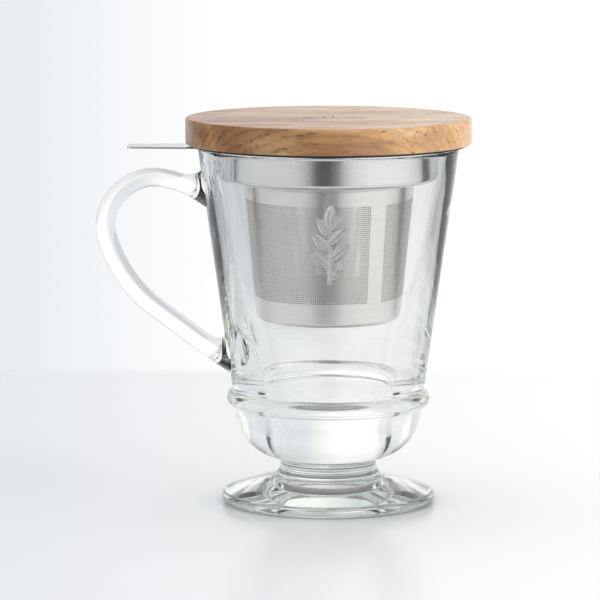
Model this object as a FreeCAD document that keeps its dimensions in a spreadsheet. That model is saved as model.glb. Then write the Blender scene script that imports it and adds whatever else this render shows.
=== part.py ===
import FreeCAD, Part
import math
import os
import re
import Sketcher

# A pressed-glass tea mug on a short foot, with a loop handle, a steel infuser that hangs
# in its mouth and a turned wooden lid that closes the infuser.
# Millimetres. The origin is the middle of the foot's underside, +Z is up, the handle is at -X.

doc = FreeCAD.newDocument("TeaMug")
sheet = doc.addObject("Spreadsheet::Sheet", "Sizes")

glassSizes = {
    "rim_height": 119.9,           # foot's underside to the top of the rim
    "rim_radius": 43.95,
    "rim_wall": 2.3,
    "rim_outer_round": 1.0,
    "rim_inner_round": 0.9,
    "floor_height": 17.5,          # top of the glass under the drink
    "floor_radius": 18.0,
    "floor_round": 9.0,
    "bowl_radius": 29.7,           # corner where the wall would meet the bowl's underside
    "bowl_height": 19.3,
    "bowl_round": 16.0,
    "bead_height": 35.35,          # middle of the ring moulded round the wall
    "bead_proud": 2.35,            # how far the ring stands out of the wall
    "bead_round": 2.9,
    "stem_radius": 16.2,
    "stem_bottom": 9.5,
    "stem_top": 14.2,
    "stem_bottom_round": 4.6,
    "stem_top_round": 1.2,
    "foot_radius": 35.9,
    "foot_edge": 3.4,
    "foot_edge_round": 1.8,
    "hollow_radius": 17.5,         # the shallow hollow pressed into the foot's underside
    "hollow_depth": 3.0,
    "hollow_round": 1.4,
}
handleSizes = {
    "top_join_drop": 13.96,        # rim down to where the handle's middle line leaves the wall
    "top_rise": 15.75,             # degrees above level
    "side_lean": 18.65,            # degrees that the outer side leans in, going down
    "arm_slope": 36.82,            # degrees below level of the arm that runs back to the wall
    "handle_reach": 84.05,         # axis to the corner of the top and the outer side
    "side_length": 45.96,
    "top_bend": 16.6,
    "bend_gap": 0.3,
    "grip_thickness": 6.5,
    "grip_depth": 10.6,
    "upper_neck": 7.6,             # wall to the start of the flare
    "upper_pad_height": 12.8,
    "lower_neck": 9.5,
    "lower_pad_height": 15.1,
    "lower_pad_lift": 3.4,         # the lower flare spreads upwards more than downwards
    "pad_spread": 2.4,             # how much wider than high each pad is
    "pad_sink": 1.7,               # how deep the flare runs into the wall before it is trimmed
    "flare_share": 0.4,            # share of the pad's growth that is left half way
}
infuserSizes = {
    "flange_radius": 44.1,
    "sheet_thickness": 0.6,
    "collar_radius": 37.8,
    "collar_depth": 10.4,          # rim down to the shoulder
    "collar_top_round": 0.9,
    "collar_bottom_round": 1.4,
    "shoulder_drop": 2.3,
    "seat_width": 1.3,             # level ring that the basket is welded under
    "tab_reach": 67.4,
    "tab_tip_width": 12.0,
    "tab_root_width": 16.0,
    "tab_corner": 1.0,
    "basket_top_radius": 29.35,
    "basket_bottom_radius": 24.8,
    "basket_height": 45.0,         # under the seat ring down to the base
    "basket_thickness": 0.5,
    "base_edge": 1.9,              # height of the base's turned-up edge
    "base_round": 1.3,
    "hole_width": 2.6,
    "hole_rows": 7,
    "hole_pitch": 4.9,
    "hole_start": 6.2,             # top of the basket to the middle of the first row
    "hole_columns": 10,
    "column_angle": 10.8,          # degrees from one column of holes to the next
    "panels": 3,
    "panel_step": 113.9,           # degrees; the third seam, on the handle's side, is wider
    "first_column": -72.0,         # degrees round from the front, towards +X
    "base_hole_radius": 1.2,
    "inner_ring": 7.0,
    "inner_count": 6,
    "outer_ring": 15.0,
    "outer_count": 12,
}
lidSizes = {
    "lid_radius": 48.0,
    "lid_thickness": 8.7,
    "lid_edge_round": 0.7,
    "lid_under_round": 0.4,
    "spigot_depth": 6.0,
    "spigot_round": 1.0,
    "gasket_radius": 46.2,
    "gasket_thickness": 0.8,
    "gasket_skirt": 1.0,
    "gasket_depth": 4.4,
    "gasket_clearance": 0.3,       # ring to the infuser's collar
    "gasket_fins": 0.5,
    "spigot_clearance": 1.9,       # spigot to the infuser's collar, which the ring fills
}

sizes = {}
for group in (glassSizes, handleSizes, infuserSizes, lidSizes):
    sizes.update(group)
for row, (alias, value) in enumerate(sizes.items(), start=1):
    sheet.set(f"A{row}", alias)
    sheet.set(f"B{row}", str(value))
    sheet.setAlias(f"B{row}", alias)
doc.recompute()

# Heights, radii and lengths that follow from the sizes above.
worked = {
    "wall_slope": "(rim_radius - bowl_radius) / (rim_height - bowl_height)",
    "hollow_top": "hollow_radius - hollow_depth * 0.5",
    "rim_inner": "rim_radius - rim_wall",
    "bead_ring": "bowl_radius + wall_slope * (bead_height - bowl_height) + bead_proud - bead_round",
    "stem_foot_round": "min(stem_bottom_round; (stem_top - stem_bottom) * 0.98)",
    "top_join_height": "rim_height - top_join_drop",
    "top_join": "bowl_radius + wall_slope * (top_join_height - bowl_height)",
    "corner_height": "top_join_height + (handle_reach - top_join) * tan(top_rise)",
    "elbow": "handle_reach - side_length * sin(side_lean)",
    "elbow_height": "corner_height - side_length * cos(side_lean)",
    "top_half_turn": "(90 + top_rise + side_lean) / 2",
    "low_half_turn": "(90 - side_lean - arm_slope) / 2",
    "low_bend": "(side_length - top_bend * tan(top_half_turn) - bend_gap) / tan(low_half_turn)",
    "arm_fall": "elbow_height - (elbow - bowl_radius) * tan(arm_slope) - bowl_height",
    "low_join_height": "bowl_height + arm_fall / (1 - wall_slope * tan(arm_slope))",
    "low_join": "bowl_radius + wall_slope * (low_join_height - bowl_height)",
    "wall_lean": "atan(wall_slope) / 1 deg",
    "grip_half": "grip_thickness / 2",
    "depth_half": "grip_depth / 2",
    "upper_pad_half": "upper_pad_height / 2",
    "lower_pad_half": "lower_pad_height / 2",
    "flange_top": "rim_height + sheet_thickness",
    "collar_inner": "collar_radius - sheet_thickness",
    "collar_bottom": "rim_height - collar_depth",
    "seat_height": "collar_bottom - shoulder_drop",
    "seat_outer": "basket_top_radius + seat_width / 2",
    "seat_inner": "basket_top_radius - basket_thickness - seat_width / 2",
    "wall_foot": "seat_height - basket_height + base_edge",
    "basket_bottom": "seat_height - basket_height",
    "hole_start_radius": "basket_bottom_radius - basket_thickness - hole_width",
    "row_height": "seat_height - hole_start",
    "lid_under": "flange_top + gasket_thickness",
    "lid_top": "lid_under + lid_thickness",
    "spigot_radius": "collar_inner - spigot_clearance",
    "spigot_bottom": "lid_under - spigot_depth",
    "skirt_radius": "spigot_radius + gasket_skirt",
    "fin_radius": "collar_inner - gasket_clearance",
    "gasket_bottom": "lid_under - gasket_depth",
}


def written(text):
    # The expression for a length, with each name that it uses followed back to the sheet.
    def follow(match):
        name = match.group(0)
        if name in sizes:
            return "Sizes." + name
        if name in worked:
            return "(" + written(worked[name]) + ")"
        return name
    return re.sub(r"[A-Za-z_][A-Za-z_]*", follow, text)


def number(text):
    result = sheet.evalExpression(written(text))
    return float(getattr(result, "Value", result))


def bind(item, path, text):
    item.setExpression(path, written(text))


def originPart(body, role):
    for feature in body.Origin.OriginFeatures:
        if feature.Role == role:
            return feature


def newBody(label):
    body = doc.addObject("PartDesign::Body", label)
    body.Label = label
    return body


def newSketch(body, name, role):
    sketch = body.newObject("Sketcher::SketchObject", name)
    sketch.AttachmentSupport = [(originPart(body, role), "")]
    sketch.MapMode = "FlatFace"
    return sketch


def pin(sketch, geometry, point, texts):
    # Holds a point at the place that the two texts give, measured from the sketch's origin.
    for kind, axis, text in (("DistanceX", -2, texts[0]), ("DistanceY", -1, texts[1])):
        if text == "0":
            sketch.addConstraint(Sketcher.Constraint("PointOnObject", geometry, point, axis))
        elif text.startswith("-"):
            away = Sketcher.Constraint(kind, geometry, point, -1, 1, number(text[1:]))
            name = f"{kind}{sketch.addConstraint(away)}"
            sketch.renameConstraint(sketch.ConstraintCount - 1, name)
            bind(sketch, "Constraints." + name, text[1:])
        else:
            away = Sketcher.Constraint(kind, -1, 1, geometry, point, number(text))
            name = f"{kind}{sketch.addConstraint(away)}"
            sketch.renameConstraint(sketch.ConstraintCount - 1, name)
            bind(sketch, "Constraints." + name, text)


def cornerArc(before, corner, after, radius):
    # Middle of the arc that rounds a corner, and the points where it leaves the two sides.
    toBefore = (before - corner).normalize()
    toAfter = (after - corner).normalize()
    half = toBefore.getAngle(toAfter) / 2
    middle = corner + (toBefore + toAfter).normalize() * (radius / math.sin(half))
    reach = radius / math.tan(half)
    return middle, corner + toBefore * reach, corner + toAfter * reach


def drawOutline(sketch, corners, closed=True):
    # Lines through the corners, each an (across, up) or (across, up, radius) of texts. A corner
    # with a radius becomes an arc that touches both of its lines.
    count = len(corners)
    places = [FreeCAD.Vector(number(c[0]), number(c[1]), 0) for c in corners]
    rounded = [len(c) == 3 for c in corners]
    starts = list(places)
    ends = list(places)
    middles = {}
    for i in range(count):
        if rounded[i]:
            around = (places[i - 1], places[i], places[(i + 1) % count])
            middles[i], ends[i], starts[i] = cornerArc(*around, number(corners[i][2]))
    sides = range(count if closed else count - 1)
    for i in sides:
        j = (i + 1) % count
        sketch.addGeometry(Part.LineSegment(starts[i], ends[j]), False)
    for i in range(count):
        into = (i - 1) % count
        if not rounded[i]:
            if i in sides:
                pin(sketch, i, 1, corners[i])
            else:
                pin(sketch, into, 2, corners[i])
            if into in sides and i in sides:
                sketch.addConstraint(Sketcher.Constraint("Coincident", into, 2, i, 1))
            continue
        first = math.atan2(ends[i].y - middles[i].y, ends[i].x - middles[i].x)
        last = math.atan2(starts[i].y - middles[i].y, starts[i].x - middles[i].x)
        turnsLeft = (last - first) % (2 * math.pi) < math.pi
        circle = Part.Circle(middles[i], FreeCAD.Vector(0, 0, 1), number(corners[i][2]))
        if turnsLeft:
            arc = sketch.addGeometry(Part.ArcOfCircle(circle, first, last), False)
            entry, leave = 1, 2
        else:
            arc = sketch.addGeometry(Part.ArcOfCircle(circle, last, first), False)
            entry, leave = 2, 1
        sketch.addConstraint(Sketcher.Constraint("Tangent", into, 2, arc, entry))
        sketch.addConstraint(Sketcher.Constraint("Tangent", arc, leave, i, 1))
        corner = sketch.addGeometry(Part.Point(places[i]), True)
        sketch.addConstraint(Sketcher.Constraint("PointOnObject", corner, 1, into))
        sketch.addConstraint(Sketcher.Constraint("PointOnObject", corner, 1, i))
        pin(sketch, corner, 1, corners[i][:2])
        rounding = Sketcher.Constraint("Radius", arc, number(corners[i][2]))
        name = f"Round{sketch.addConstraint(rounding)}"
        sketch.renameConstraint(sketch.ConstraintCount - 1, name)
        bind(sketch, "Constraints." + name, corners[i][2])


def drawOval(sketch, across, up):
    # An ellipse about the sketch's origin, wider across than up.
    wide, high = number(across), number(up)
    centre = FreeCAD.Vector(0, 0, 0)
    oval = Part.Ellipse(FreeCAD.Vector(wide, 0, 0), FreeCAD.Vector(0, high, 0), centre)
    sketch.addGeometry(oval, False)
    sketch.exposeInternalGeometry(0)
    sketch.addConstraint(Sketcher.Constraint("Coincident", 0, 3, -1, 1))
    sketch.addConstraint(Sketcher.Constraint("Horizontal", 1))
    for line, text, name in ((1, across, "Across"), (2, up, "Up")):
        sketch.addConstraint(Sketcher.Constraint("Distance", line, 2 * number(text)))
        sketch.renameConstraint(sketch.ConstraintCount - 1, name)
        bind(sketch, "Constraints." + name, "2 * " + text)


def turn(body, name, corners):
    # A solid of revolution about the mug's upright axis.
    sketch = newSketch(body, name + "_profile", "XZ_Plane")
    drawOutline(sketch, corners)
    solid = body.newObject("PartDesign::Revolution", name)
    solid.Profile = sketch
    solid.ReferenceAxis = (sketch, ["V_Axis"])
    solid.Angle = 360
    sketch.Visibility = False
    return solid


def makeCup():
    body = newBody("glass_cup")
    turn(body, "vessel", [
        ("0", "hollow_depth"),
        ("hollow_top", "hollow_depth", "hollow_round"),
        ("hollow_radius", "0"),
        ("foot_radius", "0", "foot_edge_round"),
        ("foot_radius", "foot_edge", "foot_edge_round"),
        ("stem_radius", "stem_bottom", "stem_foot_round"),
        ("stem_radius", "stem_top", "stem_top_round"),
        ("bowl_radius", "bowl_height", "bowl_round"),
        ("rim_radius", "rim_height", "rim_outer_round"),
        ("rim_inner", "rim_height", "rim_inner_round"),
        ("floor_radius", "floor_height", "floor_round"),
        ("0", "floor_height"),
    ])
    ring = newSketch(body, "bead_profile", "XZ_Plane")
    centre = FreeCAD.Vector(number("bead_ring"), number("bead_height"), 0)
    ring.addGeometry(Part.Circle(centre, FreeCAD.Vector(0, 0, 1), number("bead_round")), False)
    pin(ring, 0, 3, ("bead_ring", "bead_height"))
    ring.addConstraint(Sketcher.Constraint("Radius", 0, number("bead_round")))
    ring.renameConstraint(ring.ConstraintCount - 1, "Round")
    bind(ring, "Constraints.Round", "bead_round")
    bead = body.newObject("PartDesign::Revolution", "bead")
    bead.Profile = ring
    bead.ReferenceAxis = (ring, ["V_Axis"])
    bead.Angle = 360
    return body


def crossSection(body, name, out, up, tilt, across, high):
    # An oval across the handle: out from the axis, up from the foot, tilted about Y in degrees.
    sketch = newSketch(body, name, "YZ_Plane")
    place = FreeCAD.Vector(0, number(up), -number(out))
    tip = FreeCAD.Rotation(FreeCAD.Vector(1, 0, 0), number(tilt))
    sketch.AttachmentOffset = FreeCAD.Placement(place, tip)
    bind(sketch, ".AttachmentOffset.Base.y", up)
    bind(sketch, ".AttachmentOffset.Base.z", f"0 - ({out})")
    bind(sketch, ".AttachmentOffset.Rotation.Angle", tilt)
    drawOval(sketch, across, high)
    return sketch


def makeHandle():
    body = newBody("handle_blank")
    topStart = ("top_join + upper_neck * cos(top_rise)", "top_join_height + upper_neck * sin(top_rise)")
    armEnd = ("low_join + lower_neck * cos(arm_slope)", "low_join_height + lower_neck * sin(arm_slope)")
    path = newSketch(body, "handle_path", "XZ_Plane")
    drawOutline(path, [
        (f"-({topStart[0]})", topStart[1]),
        ("-handle_reach", "corner_height", "top_bend"),
        ("-elbow", "elbow_height", "low_bend"),
        (f"-({armEnd[0]})", armEnd[1]),
    ], closed=False)
    start = crossSection(body, "grip_section", *topStart, "top_rise", "depth_half", "grip_half")
    doc.recompute()
    grip = body.newObject("PartDesign::AdditivePipe", "grip")
    grip.Profile = start
    grip.Spine = (path, [f"Edge{i + 1}" for i in range(len(path.Shape.Edges))])
    doc.recompute()

    # Each end spreads into an oval pad. Its last section lies along the wall, just inside it.
    def flare(name, out, up, neck, slope, padHalf, lift):
        near = crossSection(body, name + "_near", f"{out} + {neck} * cos({slope})",
                            f"{up} + {neck} * sin({slope})", slope, "depth_half", "grip_half")
        share = f"{padHalf} - grip_half"
        middle = crossSection(body, name + "_middle", f"{out} + {neck} * 0.45 * cos({slope})",
                              f"{up} + {neck} * 0.45 * sin({slope}) + {lift} * 0.3",
                              f"({slope} - wall_lean) / 2",
                              f"(depth_half + ({padHalf} + pad_spread / 2 - depth_half) * flare_share)",
                              f"(grip_half + ({share}) * flare_share)")
        pad = crossSection(body, name + "_pad", f"{out} - pad_sink", f"{up} + {lift}",
                           "0 - wall_lean", f"({padHalf} + pad_spread / 2)", padHalf)
        loft = body.newObject("PartDesign::AdditiveLoft", name)
        loft.Profile = near
        loft.Sections = [(middle, [""]), (pad, [""])]
        return loft

    flare("upper_flare", "top_join", "top_join_height", "upper_neck", "top_rise", "upper_pad_half", "0")
    flare("lower_flare", "low_join", "low_join_height", "lower_neck", "arm_slope", "lower_pad_half",
          "lower_pad_lift")
    doc.recompute()

    # The ends are trimmed to the cup's outer wall.
    wall = doc.addObject("Part::Cone", "wall_envelope")
    bind(wall, "Radius1", "bowl_radius")
    bind(wall, "Radius2", "rim_radius")
    bind(wall, "Height", "rim_height - bowl_height")
    bind(wall, "Placement.Base.z", "bowl_height")
    handle = doc.addObject("Part::Cut", "cup_handle")
    handle.Base = body
    handle.Tool = wall
    handle.Label = "cup_handle"
    return handle


def makeCollar():
    body = newBody("infuser_collar")
    turn(body, "pressed_collar", [
        ("flange_radius", "rim_height"),
        ("flange_radius", "flange_top"),
        ("collar_inner", "flange_top", "collar_top_round + sheet_thickness"),
        ("collar_inner", "collar_bottom + sheet_thickness", "collar_bottom_round"),
        ("seat_outer", "seat_height + sheet_thickness"),
        ("seat_inner", "seat_height + sheet_thickness"),
        ("seat_inner", "seat_height"),
        ("seat_outer", "seat_height"),
        ("collar_radius", "collar_bottom", "collar_bottom_round + sheet_thickness"),
        ("collar_radius", "rim_height", "collar_top_round"),
    ])
    sketch = newSketch(body, "tab_outline", "XY_Plane")
    bind(sketch, ".AttachmentOffset.Base.z", "rim_height")
    drawOutline(sketch, [
        ("-(collar_radius + collar_top_round + sheet_thickness)", "tab_root_width / 2"),
        ("-tab_reach", "tab_tip_width / 2", "tab_corner"),
        ("-tab_reach", "-(tab_tip_width / 2)", "tab_corner"),
        ("-(collar_radius + collar_top_round + sheet_thickness)", "-(tab_root_width / 2)"),
    ])
    tab = body.newObject("PartDesign::Pad", "tab")
    tab.Profile = sketch
    bind(tab, "Length", "sheet_thickness")
    return body


def makeBasketWall():
    body = newBody("basket_wall")
    sleeve = turn(body, "sleeve", [
        ("basket_top_radius - basket_thickness", "seat_height"),
        ("basket_bottom_radius - basket_thickness", "wall_foot"),
        ("basket_bottom_radius", "wall_foot"),
        ("basket_top_radius", "seat_height"),
    ])
    # The hole is cut outwards from just inside the wall, so that no two cuts meet.
    sketch = newSketch(body, "hole_outline", "XZ_Plane")
    sketch.AttachmentOffset = FreeCAD.Placement(
        FreeCAD.Vector(0, 0, 0), FreeCAD.Rotation(FreeCAD.Vector(0, 1, 0), number("first_column")))
    bind(sketch, ".AttachmentOffset.Rotation.Angle", "first_column")
    bind(sketch, ".AttachmentOffset.Base.x", "hole_start_radius * sin(first_column)")
    bind(sketch, ".AttachmentOffset.Base.y", "row_height")
    bind(sketch, ".AttachmentOffset.Base.z", "hole_start_radius * cos(first_column)")
    drawOutline(sketch, [
        ("-(hole_width / 2)", "-(hole_width / 2)"),
        ("hole_width / 2", "-(hole_width / 2)"),
        ("hole_width / 2", "hole_width / 2"),
        ("-(hole_width / 2)", "hole_width / 2"),
    ])
    doc.recompute()
    solidVolume = sleeve.Shape.Volume
    hole = body.newObject("PartDesign::Pocket", "hole")
    hole.Profile = sketch
    bind(hole, "Length", "basket_top_radius + basket_thickness - hole_start_radius")
    hole.Reversed = True
    doc.recompute()
    if hole.Shape.Volume >= solidVolume:
        raise RuntimeError("the hole misses the basket wall")

    # Every hole of one panel, then the same panel again round the basket.
    grid = body.newObject("PartDesign::MultiTransform", "perforation")
    rows = body.newObject("PartDesign::LinearPattern", "rows")
    rows.Direction = (originPart(body, "Z_Axis"), [""])
    rows.Reversed = True
    bind(rows, "Length", "(hole_rows - 1) * hole_pitch")
    bind(rows, "Occurrences", "hole_rows")
    columns = body.newObject("PartDesign::PolarPattern", "columns")
    columns.Axis = (originPart(body, "Z_Axis"), [""])
    bind(columns, "Angle", "(hole_columns - 1) * column_angle")
    bind(columns, "Occurrences", "hole_columns")
    panels = body.newObject("PartDesign::PolarPattern", "panels")
    panels.Axis = (originPart(body, "Z_Axis"), [""])
    bind(panels, "Angle", "(panels - 1) * panel_step")
    bind(panels, "Occurrences", "panels")
    grid.Originals = [hole]
    grid.Transformations = [rows, columns, panels]
    body.Tip = grid
    return body


def makeBasketBase():
    body = newBody("basket_base")
    pan = turn(body, "pan", [
        ("0", "basket_bottom"),
        ("basket_bottom_radius", "basket_bottom", "base_round + basket_thickness"),
        ("basket_bottom_radius", "wall_foot"),
        ("basket_bottom_radius - basket_thickness", "wall_foot"),
        ("basket_bottom_radius - basket_thickness", "basket_bottom + basket_thickness", "base_round"),
        ("0", "basket_bottom + basket_thickness"),
    ])
    doc.recompute()
    before = pan.Shape.Volume
    for name, ring, count in (("middle_hole", "0", None), ("inner_hole", "inner_ring", "inner_count"),
                              ("outer_hole", "outer_ring", "outer_count")):
        sketch = newSketch(body, name + "_outline", "XY_Plane")
        bind(sketch, ".AttachmentOffset.Base.z", "basket_bottom")
        centre = FreeCAD.Vector(number(ring), 0, 0)
        radius = number("base_hole_radius")
        sketch.addGeometry(Part.Circle(centre, FreeCAD.Vector(0, 0, 1), radius), False)
        pin(sketch, 0, 3, (ring, "0"))
        sketch.addConstraint(Sketcher.Constraint("Radius", 0, radius))
        sketch.renameConstraint(sketch.ConstraintCount - 1, "Round")
        bind(sketch, "Constraints.Round", "base_hole_radius")
        hole = body.newObject("PartDesign::Pocket", name)
        hole.Profile = sketch
        bind(hole, "Length", "basket_thickness")
        hole.Reversed = True
        doc.recompute()
        if hole.Shape.Volume >= before:
            raise RuntimeError(f"{name} misses the base")
        if count:
            ringOfHoles = body.newObject("PartDesign::PolarPattern", name + "s")
            ringOfHoles.Originals = [hole]
            ringOfHoles.Axis = (originPart(body, "Z_Axis"), [""])
            ringOfHoles.Angle = 360
            bind(ringOfHoles, "Occurrences", count)
            body.Tip = ringOfHoles
            doc.recompute()
        before = body.Tip.Shape.Volume
    return body


def makeLid():
    body = newBody("lid_disc")
    turn(body, "turned_disc", [
        ("0", "lid_top"),
        ("lid_radius", "lid_top", "lid_edge_round"),
        ("lid_radius", "lid_under", "lid_under_round"),
        ("spigot_radius", "lid_under"),
        ("spigot_radius", "spigot_bottom", "spigot_round"),
        ("0", "spigot_bottom"),
    ])
    return body


def makeGasket():
    body = newBody("lid_gasket")
    step = "(gasket_depth - gasket_thickness) / 5"
    corners = [
        ("gasket_radius", "lid_under"),
        ("spigot_radius", "lid_under"),
        ("spigot_radius", "gasket_bottom"),
        ("skirt_radius", "gasket_bottom"),
    ]
    # Two fins on the skirt wipe the collar, each a ridge with its edge at the fin radius.
    for foot in (1, 3):
        corners.append(("skirt_radius", f"gasket_bottom + {step} * {foot} - gasket_fins / 2"))
        corners.append(("fin_radius", f"gasket_bottom + {step} * {foot}"))
        corners.append(("skirt_radius", f"gasket_bottom + {step} * {foot} + gasket_fins / 2"))
    corners.append(("skirt_radius", "flange_top"))
    corners.append(("gasket_radius", "flange_top"))
    turn(body, "seal_ring", corners)
    return body


nodes = [makeCup(), makeHandle(), makeCollar(), makeBasketWall(), makeBasketBase(), makeLid(), makeGasket()]
doc.recompute()

for item in doc.Objects:
    if "Invalid" in item.State or "Error" in item.State:
        raise RuntimeError(f"{item.Name} did not recompute: {item.State}")
os.makedirs("parts", exist_ok=True)
for node in nodes:
    shape = node.Shape
    if shape.isNull() or not shape.isValid() or len(shape.Solids) != 1:
        raise RuntimeError(f"{node.Label} is not one valid solid")
    shape.exportStep(f"parts/{node.Label}.step")
    box = shape.BoundBox
    print(f"{node.Label}: {shape.Volume:.0f} mm3, X {box.XMin:.1f} to {box.XMax:.1f}, "
          f"Z {box.ZMin:.2f} to {box.ZMax:.2f}, {len(shape.Faces)} faces")
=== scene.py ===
import math

import bmesh
import bpy
from mathutils import Matrix, Vector


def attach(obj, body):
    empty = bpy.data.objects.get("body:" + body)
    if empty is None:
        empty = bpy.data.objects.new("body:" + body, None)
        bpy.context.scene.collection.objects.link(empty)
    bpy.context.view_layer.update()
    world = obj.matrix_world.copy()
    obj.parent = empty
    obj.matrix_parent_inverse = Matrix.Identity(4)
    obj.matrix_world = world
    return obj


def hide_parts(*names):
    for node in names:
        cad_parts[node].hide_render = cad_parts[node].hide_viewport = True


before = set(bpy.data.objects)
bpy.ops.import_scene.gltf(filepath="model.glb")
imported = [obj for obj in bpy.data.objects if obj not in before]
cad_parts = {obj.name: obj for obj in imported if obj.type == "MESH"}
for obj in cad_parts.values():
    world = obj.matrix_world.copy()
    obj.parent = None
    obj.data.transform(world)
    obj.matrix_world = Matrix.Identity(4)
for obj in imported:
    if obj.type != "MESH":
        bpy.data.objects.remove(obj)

# A pressed-glass tea mug with a steel infuser and a wooden lid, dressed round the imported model.
# Piece sizes are in millimetres, as in the model's source, and become metres as they are drawn.

bpy.ops.object.select_all(action="DESELECT")
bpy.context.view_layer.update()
scene = bpy.context.scene
scene.view_settings.view_transform = "Standard"
# Light crosses thick glass many times before it leaves at an edge.
scene.cycles.max_bounces = 24
scene.cycles.glossy_bounces = 16
scene.cycles.transmission_bounces = 20
mm = 0.001
axis = (0, 0, 1)
print("frame loaded,", len(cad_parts), "nodes")


# ---- drawing helpers ----

def arcPoints(middle, radius, first, last, steps):
    # Points round a circle between two angles in degrees.
    points = []
    for k in range(steps + 1):
        angle = math.radians(first + (last - first) * k / steps)
        points.append((middle[0] + radius * math.cos(angle), middle[1] + radius * math.sin(angle)))
    return points


def roundedLine(corners, turnStep=8.0):
    # Straight lines through (across, up) corners. A third number rounds that corner with an arc.
    places = [Vector(corner[:2]) for corner in corners]
    points = []
    for i, corner in enumerate(corners):
        if len(corner) < 3:
            points.append(tuple(places[i]))
            continue
        toBefore = (places[i - 1] - places[i]).normalized()
        toAfter = (places[(i + 1) % len(places)] - places[i]).normalized()
        half = toBefore.angle(toAfter) / 2
        middle = places[i] + (toBefore + toAfter).normalized() * corner[2] / math.sin(half)
        entry = places[i] + toBefore * corner[2] / math.tan(half) - middle
        first = math.degrees(math.atan2(entry.y, entry.x))
        sweep = 180 - math.degrees(2 * half)
        if (-toBefore).cross(toAfter) < 0:
            sweep = -sweep
        steps = max(3, round(abs(sweep) / turnStep))
        points.extend(arcPoints(middle, corner[2], first, first + sweep, steps))
    return points


def startLine(name, points):
    # A new piece in edit mode: one vertex drawn out from point to point, left all selected.
    bpy.ops.mesh.primitive_plane_add(size=mm)
    piece = bpy.context.object
    piece.name = name
    bpy.ops.object.mode_set(mode="EDIT")
    bpy.ops.mesh.select_mode(type="VERT")
    bpy.ops.mesh.merge(type="CENTER")
    bpy.ops.transform.translate(value=points[0])
    for here, there in zip(points, points[1:]):
        bpy.ops.mesh.extrude_region_move(TRANSFORM_OT_translate={"value": there - here})
    bpy.ops.mesh.select_all(action="SELECT")
    return piece


def finishShell(smoothAngle=None):
    # Closes poles and seams, turns the faces outwards and leaves edit mode.
    bpy.ops.mesh.select_all(action="SELECT")
    bpy.ops.mesh.remove_doubles(threshold=0.002 * mm)
    bpy.ops.mesh.normals_make_consistent(inside=False)
    bpy.ops.object.mode_set(mode="OBJECT")
    if smoothAngle:
        bpy.ops.object.shade_smooth_by_angle(angle=math.radians(smoothAngle))


def turnedPiece(name, line, steps, closed=False, smoothAngle=38):
    # A profile of (radius, height) spun once round the upright axis.
    points = [Vector((p[0], 0, p[1])) * mm for p in line]
    if closed:
        points.append(points[0])
    piece = startLine(name, points)
    bpy.ops.mesh.spin(steps=steps, angle=2 * math.pi, center=(0, 0, 0), axis=axis)
    finishShell(smoothAngle)
    return piece


def pickFaces(piece, wanted):
    # In edit mode, selects only the faces whose middle and normal are wanted.
    bpy.ops.mesh.select_mode(type="FACE")
    bpy.ops.mesh.select_all(action="DESELECT")
    shell = bmesh.from_edit_mesh(piece.data)
    for face in shell.faces:
        face.select_set(wanted(face.calc_center_median(), face.normal))
    bmesh.update_edit_mesh(piece.data)


def onlyThis(piece):
    bpy.ops.object.select_all(action="DESELECT")
    piece.select_set(True)
    bpy.context.view_layer.objects.active = piece


def applied(piece, kind, **settings):
    # Adds a modifier, sets it and applies it.
    onlyThis(piece)
    modifier = piece.modifiers.new(kind.lower(), kind)
    for name, value in settings.items():
        setattr(modifier, name, value)
    bpy.ops.object.modifier_apply(modifier=modifier.name)


def carved(piece, tool, operation):
    # Joins a tool to a piece or cuts it away, and removes the tool.
    applied(piece, "BOOLEAN", operation=operation, object=tool, solver="EXACT")
    bpy.data.objects.remove(tool)


def smoothed(piece, angle):
    onlyThis(piece)
    bpy.ops.object.shade_smooth_by_angle(angle=math.radians(angle))


def roundFront(place):
    # Degrees round the axis from the front, towards +X.
    return math.degrees(math.atan2(place.x, -place.y))


# ---- glass mug ----

mug = {
    "rimHeight": 119.9, "rimRadius": 43.95, "rimWall": 2.3,
    "rimOuterRound": 1.0, "rimInnerRound": 0.9,
    "floorHeight": 17.5, "floorRadius": 18.0, "floorRound": 9.0,
    "bowlRadius": 29.7, "bowlHeight": 19.3, "bowlRound": 16.0,
    "beadHeight": 35.35, "beadProud": 2.35, "beadRound": 2.9, "beadFillet": 0.8,
    "stemRadius": 16.2, "stemBottom": 9.5, "stemTop": 14.2,
    "stemBottomRound": 4.6, "stemTopRound": 1.2,
    "footRadius": 35.9, "footEdge": 3.4, "footEdgeRound": 1.8,
    "hollowRadius": 17.5, "hollowDepth": 3.0, "hollowRound": 1.4,
    "steps": 256,
}
wallSlope = (mug["rimRadius"] - mug["bowlRadius"]) / (mug["rimHeight"] - mug["bowlHeight"])
wallLean = math.degrees(math.atan(wallSlope))


def wallRadius(height):
    return mug["bowlRadius"] + wallSlope * (height - mug["bowlHeight"])


def beadLine():
    # The moulded ring round the wall, with a small hollow above and below it.
    round, fillet = mug["beadRound"], mug["beadFillet"]
    upWall = Vector((math.sin(math.radians(wallLean)), math.cos(math.radians(wallLean))))
    outWall = Vector((upWall.y, -upWall.x))
    foot = Vector((wallRadius(mug["beadHeight"]), mug["beadHeight"]))
    sunk = foot - Vector((round - mug["beadProud"], 0))
    along, out = (sunk - foot).dot(upWall), (sunk - foot).dot(outWall)
    apart = math.sqrt((round + fillet) ** 2 - (fillet - out) ** 2)
    lean = math.degrees(math.atan2(out - fillet, apart))
    flat = arcPoints((along - apart, fillet), fillet, -90, lean, 5)
    flat += arcPoints((along, out), round, 180 + lean, -lean, 22)[1:-1]
    flat += arcPoints((along + apart, fillet), fillet, -180 - lean, -90, 5)
    return [tuple(foot + upWall * p[0] + outWall * p[1]) for p in flat]


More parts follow.
